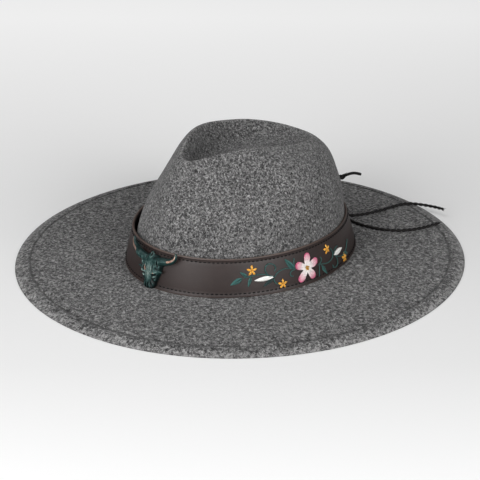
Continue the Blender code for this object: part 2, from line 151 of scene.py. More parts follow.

# The brim's doubled edge, how crisp the ridge round the crown's dent is, and how strong the painted
# highlights on that ridge and on the brim's rim are.
BRIM_LENGTH = 0.390
BRIM_WIDTH = 0.377
CREASE_INSET = 0.0131
CREASE_WIDTH = 0.0019
CREASE_DEPTH = 0.0003
CREASE_WANDER = 0.0022
EDGE_SLOPE = 0.0090
EDGE_DROP = 0.0015
BRIM_GRAIN = 0.66
RIDGE_CREASE = 0.50
RIDGE_SOFT_TO = 22.0
RIDGE_CRISP_FROM = 60.0
# How much the painted highlights pale the felt on the dent's ridge and on the brim's rim.
RIDGE_PAINTED_HIGHLIGHT = 1.3
RIM_PAINTED_HIGHLIGHT = 1.25

# How a lace is laid, in shares of its diameter. A free end's strands span a little more than that.
ROPE_SPAN = 1.18
STRAND_RADIUS = 0.275
SINGLE_RADIUS = 0.46
TWIST_PITCH = 3.3
TWIST_STEPS = 12

# How a knot's trefoil is pulled tight, in shares of its width and its lace.
TREFOIL_ACROSS = 6.4
TREFOIL_UP = 8.5
TREFOIL_DEPTH = 0.42
KNOT_LACE = 0.86

# Loose hairs at a lace's end.
FRAY_SPREAD = 0.38
FRAY_BACK = 0.0012
FRAY_ROOT = 0.0006
FRAY_RADII = np.linspace(0.00022, 0.00009, 5)

# Laces.
LACE_DIAMETER = 0.0025
KNOT_WIDTH = 0.0070
KNOT_OUT = 0.0006
TAIL_KNOT_SHARE = 0.50
TAIL_KNOT_WIDTH = 0.0056
TAIL_KNOT_DIAMETER = 0.0021
TAIL_KNOT_OUT = (0.69, -0.72, 0.0)
LACE_STOPS = (
    # share of the hole's distance, out as a share of the lace
    (-1.00, -0.54),
    (-1.00, 0.45),
    (-0.86, 0.78),
    (-0.45, 0.95),
    (0.00, 1.00),
    (0.45, 0.95),
    (0.86, 0.78),
    (1.00, 0.45),
    (1.00, -0.54),
)
FAR_LACE = (
    # x, y, z
    (0.0006, 0.1122, 0.0136),
    (0.0042, 0.1158, 0.0104),
    (0.0106, 0.1172, 0.0082),
    (0.0173, 0.1182, 0.0074),
    (0.0244, 0.1310, 0.0070),
    (0.0287, 0.1500, 0.0066),
    (0.0301, 0.1660, 0.0063),
    (0.0345, 0.1795, 0.0061),
    (0.0415, 0.1840, 0.0060),
    (0.0547, 0.1877, 0.0067),
    (0.0674, 0.1878, 0.0079),
)
NEAR_LACE = (
    # x, y, z
    (0.0044, 0.1098, 0.0132),
    (0.0092, 0.1108, 0.0101),
    (0.0160, 0.1114, 0.0080),
    (0.0251, 0.1100, 0.0074),
    (0.0373, 0.1095, 0.0073),
    (0.0515, 0.1130, 0.0072),
    (0.0621, 0.1184, 0.0070),
    (0.0708, 0.1260, 0.0068),
    (0.0768, 0.1366, 0.0066),
    (0.0804, 0.1501, 0.0063),
    (0.0823, 0.1644, 0.0060),
)
TAIL_LACE = (
    # x, y, z
    (0.0009, 0.1066, 0.0318),
    (0.0024, 0.1110, 0.0350),
    (0.0042, 0.1170, 0.0382),
    (0.0052, 0.1265, 0.0404),
    (0.0069, 0.1348, 0.0402),
    (0.0086, 0.1412, 0.0378),
)

# Colours by level, from dark to pale.
LACE_TONES = (
    (0.30, (0.0015, 0.0012, 0.0012)),
    (0.75, (0.0085, 0.0070, 0.0070)),
)
FELT_TONES = (
    (0.05, (0.006, 0.006, 0.006)),
    (0.42, (0.051, 0.050, 0.051)),
    (0.76, (0.180, 0.178, 0.177)),
    (1.00, (0.305, 0.302, 0.300)),
)
# Painted shade in the crease inside the brim's doubled edge.
FELT_CREASE_SHADE = 0.014
LEATHER_TONES = (
    (0.30, (0.0150, 0.0082, 0.0072)),
    (0.72, (0.0245, 0.0142, 0.0125)),
)
LEATHER_FLECK = (0.044, 0.028, 0.025)
# Painted highlight along the strap's top and bottom edges.
LEATHER_EDGE_HIGHLIGHT = (0.105, 0.074, 0.062)
PATINA_TONES = (
    (0.12, (0.0010, 0.0034, 0.0036)),
    (0.44, (0.003, 0.016, 0.0155)),
    (0.68, (0.009, 0.042, 0.039)),
    (0.86, (0.048, 0.100, 0.093)),
    (1.00, (0.185, 0.240, 0.222)),
)
COPPER_TONES = (
    (0.3, (0.36, 0.20, 0.145)),
    (0.7, (0.56, 0.39, 0.32)),
)


class Wire:
    """An output of a material's nodes. Python's operators on it add Math nodes."""

    def __init__(self, finish, socket):
        self.finish = finish
        self.socket = socket

    def math(self, operation, *values):
        sockets = dict(enumerate(values))
        return self.finish.node("Math", {"operation": operation}, sockets)

    def __add__(self, other):
        return self.math("ADD", self, other)

    def __radd__(self, other):
        return self.math("ADD", other, self)

    def __sub__(self, other):
        return self.math("SUBTRACT", self, other)

    def __rsub__(self, other):
        return self.math("SUBTRACT", other, self)

    def __mul__(self, other):
        return self.math("MULTIPLY", self, other)

    def __rmul__(self, other):
        return self.math("MULTIPLY", other, self)

    def __pow__(self, other):
        return self.math("POWER", self, other)

    def __abs__(self):
        return self.math("ABSOLUTE", self)

    def least(self, other):
        return self.math("MINIMUM", self, other)

    def between(self, low, high):
        """0 below low, 1 above high and a smooth rise between them."""
        settings = {"interpolation_type": "SMOOTHSTEP"}
        return self.finish.node("MapRange", settings, {"Value": self, "From Min": low, "From Max": high})


class Finish:
    """A material, its nodes and its Principled shader."""

    def __init__(self, name):
        self.material = bpy.data.materials.new(name)
        self.material.use_nodes = True
        self.tree = self.material.node_tree
        self.shader = self.tree.nodes["Principled BSDF"]

    def feed(self, socket, value):
        if isinstance(value, Wire):
            self.tree.links.new(value.socket, socket)
        elif socket.type == "RGBA" and len(value) == 3:
            socket.default_value = (*value, 1.0)
        else:
            socket.default_value = value

    def node(self, kind, settings=(), sockets=(), out=0):
        """Adds a node, with its settings first and then its sockets, and gives one of its outputs."""
        made = self.tree.nodes.new("ShaderNode" + kind)
        for name, value in dict(settings).items():
            if name == "stops":
                set_stops(made.color_ramp, value)
            else:
                setattr(made, name, value)
        for name, value in dict(sockets).items():
            self.feed(made.inputs[name], value)
        return Wire(self, made.outputs[out])

    def surface(self, **values):
        """Sets sockets of the Principled shader, with _ in a name for a space."""
        for name, value in values.items():
            self.feed(self.shader.inputs[name.replace("_", " ")], value)
        return self.material

    def place(self):
        return self.node("TexCoord", out="Object")

    def part(self, vector, axis):
        """One coordinate of a vector."""
        return self.node("SeparateXYZ", {}, {"Vector": vector}, axis)

    def stretched(self, vector, scale, turn=(0.0, 0.0, 0.0)):
        return self.node("Mapping", {}, {"Vector": vector, "Rotation": turn, "Scale": scale})

    def noise(self, vector, scale, detail=2.0, roughness=0.5, out=0):
        sockets = {"Vector": vector, "Scale": scale, "Detail": detail, "Roughness": roughness}
        return self.node("TexNoise", {}, sockets, out)

    def mix(self, factor, first, second, blend="MIX"):
        """Mix of two colours."""
        settings = {"data_type": "RGBA", "blend_type": blend}
        return self.node("Mix", settings, {0: factor, 6: first, 7: second}, 2)

    def ramp(self, factor, stops):
        return self.node("ValToRGB", {"stops": stops}, {"Fac": factor})

    def bump(self, height, distance, strength=1.0):
        return self.node("Bump", {}, {"Height": height, "Distance": distance, "Strength": strength})


def set_stops(ramp, stops):
    """Gives a colour ramp its stops, each a place and a colour."""
    while len(ramp.elements) < len(stops):
        ramp.elements.new(1.0)
    for element, (at, colour) in zip(ramp.elements, stops):
        element.position = at
        element.color = (*colour, 1.0)


def grey(value):
    return (value, value, value)


def unit(vectors):
    return vectors / np.linalg.norm(vectors, axis=-1, keepdims=True)


def smoothstep(value, low, high):
    share = np.clip((value - low) / (high - low), 0.0, 1.0)
    return share * share * (3 - 2 * share)


def hump(offset, half, power=2):
    """1 where the offset is 0, falling to nothing past its half width."""
    return np.exp(-((offset / half) ** power))


def read_vectors(mesh, name):
    """The vertices' places or normals, as rows."""
    values = np.empty(3 * len(mesh.vertices))
    mesh.vertices.foreach_get(name, values)
    return values.reshape(-1, 3)


def put(name, data):
    """An object of that data, in the scene."""
    made = bpy.data.objects.new(name, data)
    bpy.context.scene.collection.objects.link(made)
    return made


def mesh_of(name, shape):
    """A finished bmesh as a mesh."""
    mesh = bpy.data.meshes.new(name)
    shape.to_mesh(mesh)
    shape.free()
    return mesh


def solid_of(node):
    """A node's solid as a bmesh, with its loose triangles joined."""
    shape = bmesh.new()
    shape.from_mesh(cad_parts[node].data)
    bmesh.ops.remove_doubles(shape, verts=shape.verts, dist=1e-6)
    return shape


def new_piece(name, shape, finish):
    """Makes an object of a bmesh, with its place in its mesh, and rides it on the hat."""
    mesh = mesh_of(name, shape)
    mesh.shade_smooth()
    mesh.materials.append(finish)
    piece = put(name, mesh)
    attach(piece, "root")
    return piece


def apply_modifiers(piece):
    evaluated = piece.evaluated_get(bpy.context.evaluated_depsgraph_get())
    mesh = bpy.data.meshes.new_from_object(evaluated)
    piece.modifiers.clear()
    piece.data = mesh


def run_along(points):
    """Each point's distance along the line through the points."""
    return np.concatenate([[0.0], np.cumsum(np.linalg.norm(np.diff(points, axis=0), axis=1))])


def points_at(distances, run, points):
    return np.stack([np.interp(distances, run, points[:, k]) for k in range(3)], axis=-1)


def smooth_route(points, spacing):
    """Points at an even spacing along a smooth curve through the route's own points."""
    points = np.array(points, dtype=float)
    lengths = run_along(points)
    slopes = np.gradient(points, lengths, axis=0)
    at = np.linspace(0.0, lengths[-1], 400)
    index = np.clip(np.searchsorted(lengths, at, side="right") - 1, 0, len(lengths) - 2)
    step = (lengths[index + 1] - lengths[index])[:, None]
    t = (at - lengths[index])[:, None] / step
    fine = (
        (2 * t**3 - 3 * t**2 + 1) * points[index]
        + (t**3 - 2 * t**2 + t) * slopes[index] * step
        + (3 * t**2 - 2 * t**3) * points[index + 1]
        + (t**3 - t**2) * slopes[index + 1] * step
    )
    run = run_along(fine)
    even = np.linspace(0.0, run[-1], max(4, round(run[-1] / spacing) + 1))
    return points_at(even, run, fine), run[-1]


def direction(azimuth, elevation):
    """From the hat towards an azimuth, 0 in front of it, and an elevation."""
    return Vector((
        math.sin(azimuth) * math.cos(elevation),
        -math.cos(azimuth) * math.cos(elevation),
        math.sin(elevation),
    ))


def aim(thing, away):
    """Turns a camera or a light to look back from that direction."""
    thing.rotation_mode = "QUATERNION"
    thing.rotation_quaternion = away.to_track_quat("Z", "Y")


def make_camera():
    """The camera of the photograph."""
    away = direction(CAMERA_AZIMUTH, CAMERA_ELEVATION)
    right = Vector((math.cos(CAMERA_AZIMUTH), math.sin(CAMERA_AZIMUTH), 0.0))
    camera = put("camera", bpy.data.cameras.new("camera"))
    camera.location = AIM_RIGHT * right + Vector((0.0, 0.0, AIM_UP)) + CAMERA_DISTANCE * away
    aim(camera, away)
    camera.data.sensor_width = SENSOR
    camera.data.lens = FOCAL_PIXELS * SENSOR / FRAME_PIXELS
    bpy.context.scene.camera = camera


def make_lights():
    """Three soft square lights and an even white surround."""
    for name, azimuth, elevation, distance, size, power in LIGHTS:
        away = direction(math.radians(azimuth), math.radians(elevation))
        light = put(name, bpy.data.lights.new(name, "AREA"))
        light.data.size = size
        light.data.energy = power
        light.location = distance * away
        aim(light, away)
    world = bpy.data.worlds.new("studio")
    world.use_nodes = True
    background = world.node_tree.nodes["Background"]
    background.inputs["Color"].default_value = (1.0, 1.0, 1.0, 1.0)
    background.inputs["Strength"].default_value = WORLD_STRENGTH
    bpy.context.scene.world = world
    bpy.context.scene.view_settings.view_transform = "Standard"


def make_floor():
    """A wide pale floor with painted light: paler in front of the hat, darker round it and glowing
    behind it.
    """
    shape = bmesh.new()
    bmesh.ops.create_circle(shape, cap_ends=True, segments=64, radius=FLOOR_RADIUS)
    finish = Finish("pale_floor_painted_light")
    place = finish.place()
    forward = finish.part(place, "X") * math.sin(CAMERA_AZIMUTH)
    behind = finish.part(place, "Y") * math.cos(CAMERA_AZIMUTH) - forward
    along = (behind + FLOOR_START) * (1 / FLOOR_RUN)
    # Painted light: the floor's colour and its glowing emission stand in for how the lamps light it.
    painted_shading = finish.ramp(along, [(at, grey(value)) for at, value in FLOOR_PAINTED_SHADING])
    painted_glow = finish.ramp(along, [(at, grey(value)) for at, value in FLOOR_PAINTED_GLOW])
    material = finish.surface(Base_Color=painted_shading, Roughness=0.9, Emission_Color=painted_glow, Emission_Strength=1.0)
    mesh = mesh_of("floor", shape)
    mesh.materials.append(material)
    floor = put("floor", mesh)


def lace_finish():
    """Black waxed twist with a soft sheen on its strands."""
    finish = Finish("black_waxed_lace")
    fibre = finish.noise(finish.place(), 2600.0, 3.0)
    shade = finish.ramp(fibre, LACE_TONES)
    finish.surface(Specular_IOR_Level=0.28)
    return finish.surface(Base_Color=shade, Roughness=0.50, Normal=finish.bump(fibre, 0.00012))


@functools.cache
def straight_tube(rings, sides):
    """Closed tube along Z as a mesh, with each point's place on its circle and its ring's number."""
    shape = bmesh.new()
    bmesh.ops.create_cone(shape, cap_ends=True, segments=sides, radius1=1.0, radius2=1.0, depth=1.0)
    upright = [edge for edge in shape.edges if abs(edge.verts[0].co.z - edge.verts[1].co.z) > 0.5]
    bmesh.ops.subdivide_edges(shape, edges=upright, cuts=rings - 2)
    mesh = mesh_of("straight_tube", shape)
    places = np.array([vertex.co for vertex in mesh.vertices])
    return mesh, places[:, :2], np.rint((places[:, 2] + 0.5) * (rings - 1)).astype(int)


class Bundle:
    """Closed tubes that become one piece, such as threads, laces and fibres."""

    def __init__(self):
        self.shape = bmesh.new()
        self.places = []
        self.tones = []

    def add(self, centre, radii, sides, guide, flat=1.0, tone=(1.0, 1.0, 1.0)):
        """Lays one tube through the points. The guide gives the side on which flat squashes it."""
        centre = np.asarray(centre, dtype=float)
        mesh, circle, ring = straight_tube(len(centre), sides)
        self.shape.from_mesh(mesh)
        ahead = unit(np.gradient(centre, axis=0))
        side = unit(np.cross(ahead, guide))
        lift = np.cross(side, ahead)
        radii = np.broadcast_to(radii, len(centre))[ring, None]
        tone = np.broadcast_to(tone, (len(centre), 3))
        across = circle[:, :1] * -side[ring]
        self.places.append(centre[ring] + radii * (across + flat * circle[:, 1:] * lift[ring]))
        self.tones.append(tone[ring])

    def piece(self, name, finish, slot):
        made = new_piece(name, self.shape, finish)
        made.data.vertices.foreach_set("co", np.concatenate(self.places).ravel())
        tones = np.concatenate(self.tones)
        layer = made.data.color_attributes.new("tone", "FLOAT_COLOR", "POINT")
        layer.data.foreach_set("color", np.column_stack([tones, np.ones(len(tones))]).ravel())
        made.data.update()
        return made


def twist(bundle, points, diameter, strands=2):
    """Waxed strands laid into a rope along a line, or one strand alone."""
    points = np.array(points, dtype=float)
    run = run_along(points)
    pitch = diameter * TWIST_PITCH
    even = np.linspace(0.0, run[-1], max(8, round(run[-1] / (pitch / TWIST_STEPS))))
    line = points_at(even, run, points)
    ahead = unit(np.gradient(line, axis=0))
    side = unit(np.cross(ahead, (0.03, 0.02, 1.0)))
    lift = np.cross(side, ahead)
    radius = (STRAND_RADIUS if strands > 1 else SINGLE_RADIUS) * diameter
    off = 0.5 * diameter - radius if strands > 1 else 0.0
    for strand in range(strands):
        turn = math.tau * (strand / strands + even / pitch)
        away = np.cos(turn)[:, None] * side + np.sin(turn)[:, None] * lift
        bundle.add(line + off * away, radius, 8, away)


def fray(bundle, tip, behind, count=7, reach=0.0034):
    """Loose fibres that spread from a lace's cut end."""
    tip, behind = np.array(tip), np.array(behind)
    ahead = unit(tip - behind)
    for _ in range(count):
        bend = np.array([random.gauss(0.0, FRAY_SPREAD) for _ in range(3)])
        long = reach * random.uniform(0.5, 1.2)
        share = np.linspace(0.0, 1.0, 5)[:, None]
        root = FRAY_ROOT * np.array([random.uniform(-1, 1) for _ in range(3)])
        start = tip - FRAY_BACK * ahead + root
        fibre = start + long * share * ahead + long * share**2 * bend
        bundle.add(fibre, FRAY_RADII, 5, (0.31, 0.17, 0.93))


def knot(bundle, centre, out, up, width, diameter):
    """A tied overhand knot: a trefoil of twisted lace pulled tight."""
    out, up = np.array(out), np.array(up)
    t = np.linspace(0.0, math.tau, 60)
    across = np.cross(out, up)
    x = (np.sin(t) + 2 * np.sin(2 * t)) * width / TREFOIL_ACROSS
    y = (np.cos(t) - 2 * np.cos(2 * t)) * width / TREFOIL_UP
    z = -np.sin(3 * t) * TREFOIL_DEPTH * diameter
    points = centre + x[:, None] * across + y[:, None] * up + z[:, None] * out
    twist(bundle, points, KNOT_LACE * diameter)


def make_cord(name, route, node, finish, strands=2):
    """A free lace end on its route: a twisted rope, or one smooth strand."""
    points, length = smooth_route(route, 1.2 * LACE_DIAMETER)
    bundle = Bundle()
    twist(bundle, points, ROPE_SPAN * LACE_DIAMETER, strands)
    piece = bundle.piece(name, finish, "black_lace")
    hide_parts(node)
    return points


make_camera()
black_lace = lace_finish()
far_route = make_cord("lace_end_far", FAR_LACE, "cord_end_far", black_lace)
near_route = make_cord("lace_end_near", NEAR_LACE, "cord_end_near", black_lace)
tail_route = make_cord("lace_tail", TAIL_LACE, "cord_tail", black_lace, strands=1)
make_lights()
make_floor()


def felt_speckle(finish, place):
    """Dark and pale fibres matted together, as one value from dark to pale."""
    drift = finish.noise(place, 330.0, 2.0, out=1)
    settings = {"operation": "MULTIPLY_ADD"}
    wound = finish.node("VectorMath", settings, {0: drift, 1: grey(0.0036), 2: place})
    grain = finish.noise(wound, 560.0, 3.0, 0.7)
    strands = finish.noise(wound, 400.0, 2.0, 0.55)
    pale = 1.0 - abs(strands - 0.5).between(0.0, 0.045)
    turned = finish.stretched(wound, (1.0, 1.0, 1.0), (0.7, 0.4, 1.1))
    dark = 1.0 - abs(finish.noise(turned, 360.0, 2.0, 0.55) - 0.47).between(0.0, 0.050)
    return grain * 2.0 - 0.48 + pale * 0.29 - dark * 0.31


def felt_finish():
    """Heathered grey wool felt, with painted highlights on the crown's ridge and the brim's rim and
    painted shade along the brim's crease.
    """
    finish = Finish("heathered_felt")
    place = finish.place()
    standing = felt_speckle(finish, place)
    lying = felt_speckle(finish, finish.stretched(place, grey(BRIM_GRAIN), grey(0.0)))
    crown = finish.part(place, "Z").between(BAND_LOW + 0.005, BAND_LOW + 0.010)
    cloud = finish.noise(place, 28.0, 3.0, 0.55)
    lying = lying * 1.16 - 0.075
    speckle = lying + (standing - lying) * crown + (cloud - 0.5) * 0.14
    # Painted highlights: the felt is paler on the dent's ridge and the brim's rim.
    rubbed = finish.node("Attribute", {"attribute_name": "rubbed"}, out=2)
    speckle = speckle + rubbed * 0.16
    shade = finish.ramp(speckle, FELT_TONES)
    # Painted shade: the crease line is darkened towards a dark grey.
    crease = crease_mask(finish, place)
    shade = finish.mix(crease * 0.72, shade, grey(FELT_CREASE_SHADE))
    height = speckle - crease * 1.2
    finish.surface(Sheen_Weight=0.12, Sheen_Roughness=0.6, Specular_IOR_Level=0.08)
    return finish.surface(Base_Color=shade, Roughness=0.95, Normal=finish.bump(height, 0.0004, 0.7))


def crease_mask(finish, place):
    """1 on the crease line inside the brim's doubled edge, on its upper face."""
    x, y, z = (finish.part(place, axis) for axis in "XYZ")
    across = BRIM_WIDTH / 2 - CREASE_INSET
    along = BRIM_LENGTH / 2 - CREASE_INSET
    share = ((x * x) * (1 / across**2) + (y * y) * (1 / along**2)) ** 0.5
    wander = (finish.noise(place, 45.0, 3.0) - 0.5) * CREASE_WANDER
    off = abs((share - 1.0) * across + wander)
    return (1.0 - off.between(0.0, CREASE_WIDTH)) * z.between(0.0012, 0.0024)


def ridge_of(shape):
    """The highest vertex of each column of the crown, in order round it."""
    columns = {}
    for vertex in shape.verts:
        turn = round(math.degrees(math.atan2(vertex.co.x, -vertex.co.y)), 1)
        if turn not in columns or vertex.co.z > columns[turn].co.z:
            columns[turn] = vertex
    return [columns[turn] for turn in sorted(columns) if columns[turn].co.z > 0.8 * CAD_BOX[1][2]]


def make_felt():
    """Crown and brim in finer quads than the solid's, with a crisp ridge, edge and crease."""
    shape = solid_of("crown_and_brim")
    bmesh.ops.join_triangles(
        shape, faces=shape.faces, angle_face_threshold=math.pi, angle_shape_threshold=math.pi,
    )
    # Weights for the painted highlights, first on the dent's ridge.
    rubbed = shape.verts.layers.float.new("rubbed")
    sharp = shape.edges.layers.float.new("crease_edge")
    ridge = set(ridge_of(shape))
    for vertex in ridge:
        vertex[rubbed] = 1.0
    for edge in shape.edges:
        if ridge.issuperset(edge.verts):
            place = edge.verts[0].co
            turn = abs(math.degrees(math.atan2(place.x, -place.y)))
            edge[sharp] = RIDGE_CREASE * float(smoothstep(turn, RIDGE_SOFT_TO, RIDGE_CRISP_FROM))
    felt = new_piece("felt_body", shape, felt_finish())
    smooth = felt.modifiers.new("smooth", "SUBSURF")
    smooth.levels = smooth.render_levels = 2
    apply_modifiers(felt)
    press_edge(felt.data)
    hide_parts("crown_and_brim")


def press_edge(mesh):
    """Slopes the doubled edge to its rim, presses the crease in and marks the ridge and the rim for
    painted highlights.
    """
    points = read_vectors(mesh, "co")
    x, y, z = points.T
    share = np.hypot(x / (BRIM_WIDTH / 2), y / (BRIM_LENGTH / 2))
    inset = (1 - share) * BRIM_WIDTH / 2
    upper = smoothstep(z, 0.0004, 0.0018)
    slope = smoothstep(-inset, -EDGE_SLOPE, -0.0006)
    groove = hump(inset - CREASE_INSET, 0.5 * CREASE_WIDTH) * smoothstep(z, 0.0026, 0.0036)
    z -= EDGE_DROP * slope * upper + CREASE_DEPTH * groove
    mesh.vertices.foreach_set("co", points.ravel())
    mesh.update()
    layer = mesh.attributes["rubbed"]
    values = np.empty(len(mesh.vertices))
    layer.data.foreach_get("value", values)
    # Painted highlights on the sloped rim and on the ridge.
    rim = slope * upper * smoothstep(inset, -0.0001, 0.0012)
    ridge = np.clip(values, 0.0, 1.0) ** 3
    layer.data.foreach_set("value", RIDGE_PAINTED_HIGHLIGHT * ridge + RIM_PAINTED_HIGHLIGHT * rim)


class BandFace:
    """The band's outer face, read from its solid: places on it by length round it and height."""

    SAMPLES = 720
    KEPT_WAVES = 30
    SHARES = (0.15, 0.85)
    REACH = 0.14

    def __init__(self):
        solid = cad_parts[BAND_NODE]
        tree = BVHTree.FromObject(solid, bpy.context.evaluated_depsgraph_get())
        self.angles = np.linspace(-math.pi, math.pi, self.SAMPLES, endpoint=False)
        self.radii = [self.read(tree, share) for share in self.SHARES]
        middle = self.at_angle(self.angles, 0.5 * BAND_HEIGHT)
        step = np.linalg.norm(np.diff(middle, axis=0, append=middle[:1]), axis=1)
        run = np.concatenate([[0.0], np.cumsum(step)])
        self.run_angles = np.append(self.angles, math.pi)
        self.run = run - np.interp(0.0, self.run_angles, run)

    def read(self, tree, share):
        """Radius of the outer face at that share of the height, without facets and the opening."""
        height = Vector((0.0, 0.0, BAND_LOW + share * BAND_HEIGHT))
        found = []
        for angle in self.angles:
            out = Vector((math.sin(angle), -math.cos(angle), 0.0))
            distance = tree.ray_cast(self.REACH * out + height, -out)[3]
            found.append(self.REACH - distance if distance and distance < self.REACH / 2 else math.nan)
        found = np.array(found)
        seen = np.isfinite(found)
        filled = np.interp(self.angles, self.angles[seen], found[seen], period=math.tau)
        waves = np.fft.rfft(filled)
        waves[self.KEPT_WAVES:] = 0.0
        return np.fft.irfft(waves, self.SAMPLES)

    def radius(self, angle, up):
        low, high = (np.interp(angle, self.angles, radii, period=math.tau) for radii in self.radii)
        share = (up / BAND_HEIGHT - self.SHARES[0]) / (self.SHARES[1] - self.SHARES[0])
        return low + (high - low) * share

    def at_angle(self, angle, up):
        radius = self.radius(angle, up)
        height = BAND_LOW + up + 0 * angle
        return np.stack([radius * np.sin(angle), -radius * np.cos(angle), height], axis=-1)

    def over(self, angle, up, out):
        """Points at that angle and height, moved out along the face's normal."""
        angle, up, out = np.broadcast_arrays(np.asarray(angle, dtype=float), up, out)
        return self.at_angle(angle, up) + out[..., None] * self.normal(angle, up)

    def normal(self, angle, up):
        ahead = self.at_angle(angle + 0.02, up) - self.at_angle(angle - 0.02, up)
        rise = self.at_angle(angle, up + 0.001) - self.at_angle(angle, up - 0.001)
        return unit(np.cross(ahead, rise))

    def angle_at(self, across):
        low, high = self.run[0], self.run[-1]
        wrapped = low + (np.asarray(across, dtype=float) - low) % (high - low)
        return np.interp(wrapped, self.run, self.run_angles)

    def spot(self, across, up, out=0.0):
        """Points by length round the band from its front, height over its foot and distance out."""
        return self.over(self.angle_at(across), up, out)

    def chart(self, points):
        """The reverse of spot for points near the band: across, up and out."""
        angle = np.arctan2(points[:, 0], -points[:, 1])
        up = points[:, 2] - BAND_LOW
        out = np.hypot(points[:, 0], points[:, 1]) - self.radius(angle, up)
        return np.interp(angle, self.run_angles, self.run), up, out


# The band's length from its front to its back, round the wearer's left and round the wearer's right.
band_face = BandFace()
BAND_BACK = band_face.run[-1]
RIGHT_RUN = -band_face.run[0]


def leather_finish():
    """Dark brown calf leather: satin, with a fine grain, faint creases, soft mottling and a pale band
    painted along both edges as their highlight.
    """
    finish = Finish("brown_band_leather")
    place = finish.place()
    mottle = finish.noise(place, 60.0, 4.0, 0.55)
    grain = finish.node("TexVoronoi", {"feature": "SMOOTH_F1"}, {"Vector": place, "Scale": 1500.0})
    fine = finish.noise(place, 2200.0, 2.0)
    crease = finish.noise(finish.stretched(place, (1.0, 1.0, 4.0)), 130.0, 3.0, 0.6)
    shade = finish.ramp(mottle, LEATHER_TONES)
    shade = finish.mix(fine.between(0.45, 0.85) * 0.30, shade, LEATHER_FLECK)
    height_over_foot = finish.part(place, "Z") - BAND_LOW
    from_edge = height_over_foot.least(BAND_HEIGHT - height_over_foot)
    # Painted highlight: a paler band along both edges of the strap.
    edge_highlight = (1.0 - from_edge.between(0.0, EDGE_HIGHLIGHT_REACH)) * (0.55 + mottle * 0.6)
    shade = finish.mix(edge_highlight, shade, LEATHER_EDGE_HIGHLIGHT)
    rough = 0.40 + mottle * 0.12 + grain * 0.10
    height = grain * 0.5 + crease * 0.5 + fine * 0.15
    finish.surface(Specular_IOR_Level=0.46)
    return finish.surface(Base_Color=shade, Roughness=rough, Normal=finish.bump(height, 0.00010, 0.6))


def band_outline():
    """The strap's section as out and up: two raised lips, stitch grooves and a low crown between."""
    up = np.concatenate([
        np.linspace(0.0, 1.0, 7)[:-1] * LIP_WIDTH,
        np.linspace(LIP_WIDTH, LIP_REACH, 5),
    ])
    lip = LIP_RISE * np.sqrt(np.clip(1 - (2 * np.clip(up / LIP_WIDTH, 0, 1) - 1) ** 2, 0, 1))
    groove = GROOVE_DEPTH * hump(up - GROOVE_AT, GROOVE_HALF)
    low = np.column_stack([lip - groove, up])
    middle_up = np.linspace(LIP_REACH, BAND_HEIGHT - LIP_REACH, 13)[1:-1]
    share = (middle_up - LIP_REACH) / (BAND_HEIGHT - 2 * LIP_REACH)
    middle = np.column_stack([PANEL_CROWN * np.sin(math.pi * share), middle_up])
    high = low[::-1] * (1.0, -1.0) + (0.0, BAND_HEIGHT)
    inner_up = np.array([0.99, 0.75, 0.5, 0.25, 0.01]) * BAND_HEIGHT
    inner = np.column_stack([np.full(5, -LEATHER), inner_up])
    edge = LEATHER * np.array([0.45, 0.8])
    top = np.column_stack([-edge, np.full(2, BAND_HEIGHT) + (EDGE_ROUNDING, 0.0)])
    bottom = np.column_stack([-edge[::-1], (0.0, -EDGE_ROUNDING)])
    loop = np.concatenate([low, middle, high, top, inner, bottom])
    return loop[::-1]


def make_band():
    """The leather strap, swept round the hat from one side of the back opening to the other."""
    section = band_outline()
    half_open = BAND_GAP / 2
    mesh, circle, ring = straight_tube(BAND_RINGS, len(section))
    number = np.rint(np.arctan2(circle[:, 1], circle[:, 0]) / math.tau * len(section)).astype(int)
    out, up = section[number % len(section)].T
    across = np.linspace(half_open - RIGHT_RUN, BAND_BACK - half_open, BAND_RINGS)[ring]
    angle = band_face.angle_at(across)
    wave = WAVE_OUT * (1 + np.sin(7 * angle + 0.6) * np.sin(3 * angle + 2.0 * up / BAND_HEIGHT))
    wave -= TOP_LEAN * np.clip(np.cos(angle - TOP_LEAN_AT), 0, 1) * up / BAND_HEIGHT
    rise = WAVE_UP * np.sin(5 * angle + 1.0) * (2 * up / BAND_HEIGHT - 1)
    shape = bmesh.new()
    shape.from_mesh(mesh)
    for vertex, place in zip(shape.verts, band_face.over(angle, up + rise, out + wave)):
        vertex.co = place
    bmesh.ops.recalc_face_normals(shape, faces=shape.faces)
    band = new_piece("leather_band", shape, leather_finish())
    cut_holes(band)
    band.data.set_sharp_from_angle(angle=math.radians(55.0))
    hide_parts(BAND_NODE)


def cut_holes(band):
    """Four round lace holes, beside the two ends."""
    tools = bmesh.new()
    for row in LACE_ROWS:
        for side in (-1, 1):
            across = BAND_BACK + side * LACE_HOLE_ACROSS
            ends = band_face.spot(across, row * BAND_HEIGHT, np.array([-0.004, 0.004]))
            along = Vector(ends[1] - ends[0])
            place = Vector(ends.mean(axis=0))
            turn = along.to_track_quat("Z", "Y").to_matrix().to_4x4()
            turn.translation = place
            bmesh.ops.create_cone(
                tools, cap_ends=True, segments=24, radius1=LACE_HOLE / 2, radius2=LACE_HOLE / 2,
                depth=along.length, matrix=turn,
            )
    tool = put("hole_tools", mesh_of("hole_tools", tools))
    cut = band.modifiers.new("holes", "BOOLEAN")
    cut.operation = "DIFFERENCE"
    cut.object = tool
    apply_modifiers(band)
    bpy.data.objects.remove(tool)


def thread_finish(name, rough, sheen):
    """Stranded thread, coloured by its own attribute, with fine twist lines."""
    finish = Finish(name)
    place = finish.place()
    tone = finish.node("Attribute", {"attribute_name": "tone"})
    fibre = finish.noise(place, 5200.0, 2.0)
    dark = finish.mix(1.0, tone, grey(0.55), "MULTIPLY")
    light = finish.mix(1.0, tone, grey(1.22), "MULTIPLY")
    finish.surface(Sheen_Weight=sheen, Sheen_Roughness=0.4, Specular_IOR_Level=0.3)
    return finish.surface(
        Base_Color=finish.mix(fibre.between(0.25, 0.75), dark, light), Roughness=rough,
        Normal=finish.bump(fibre, 0.00008, 0.6),
    )


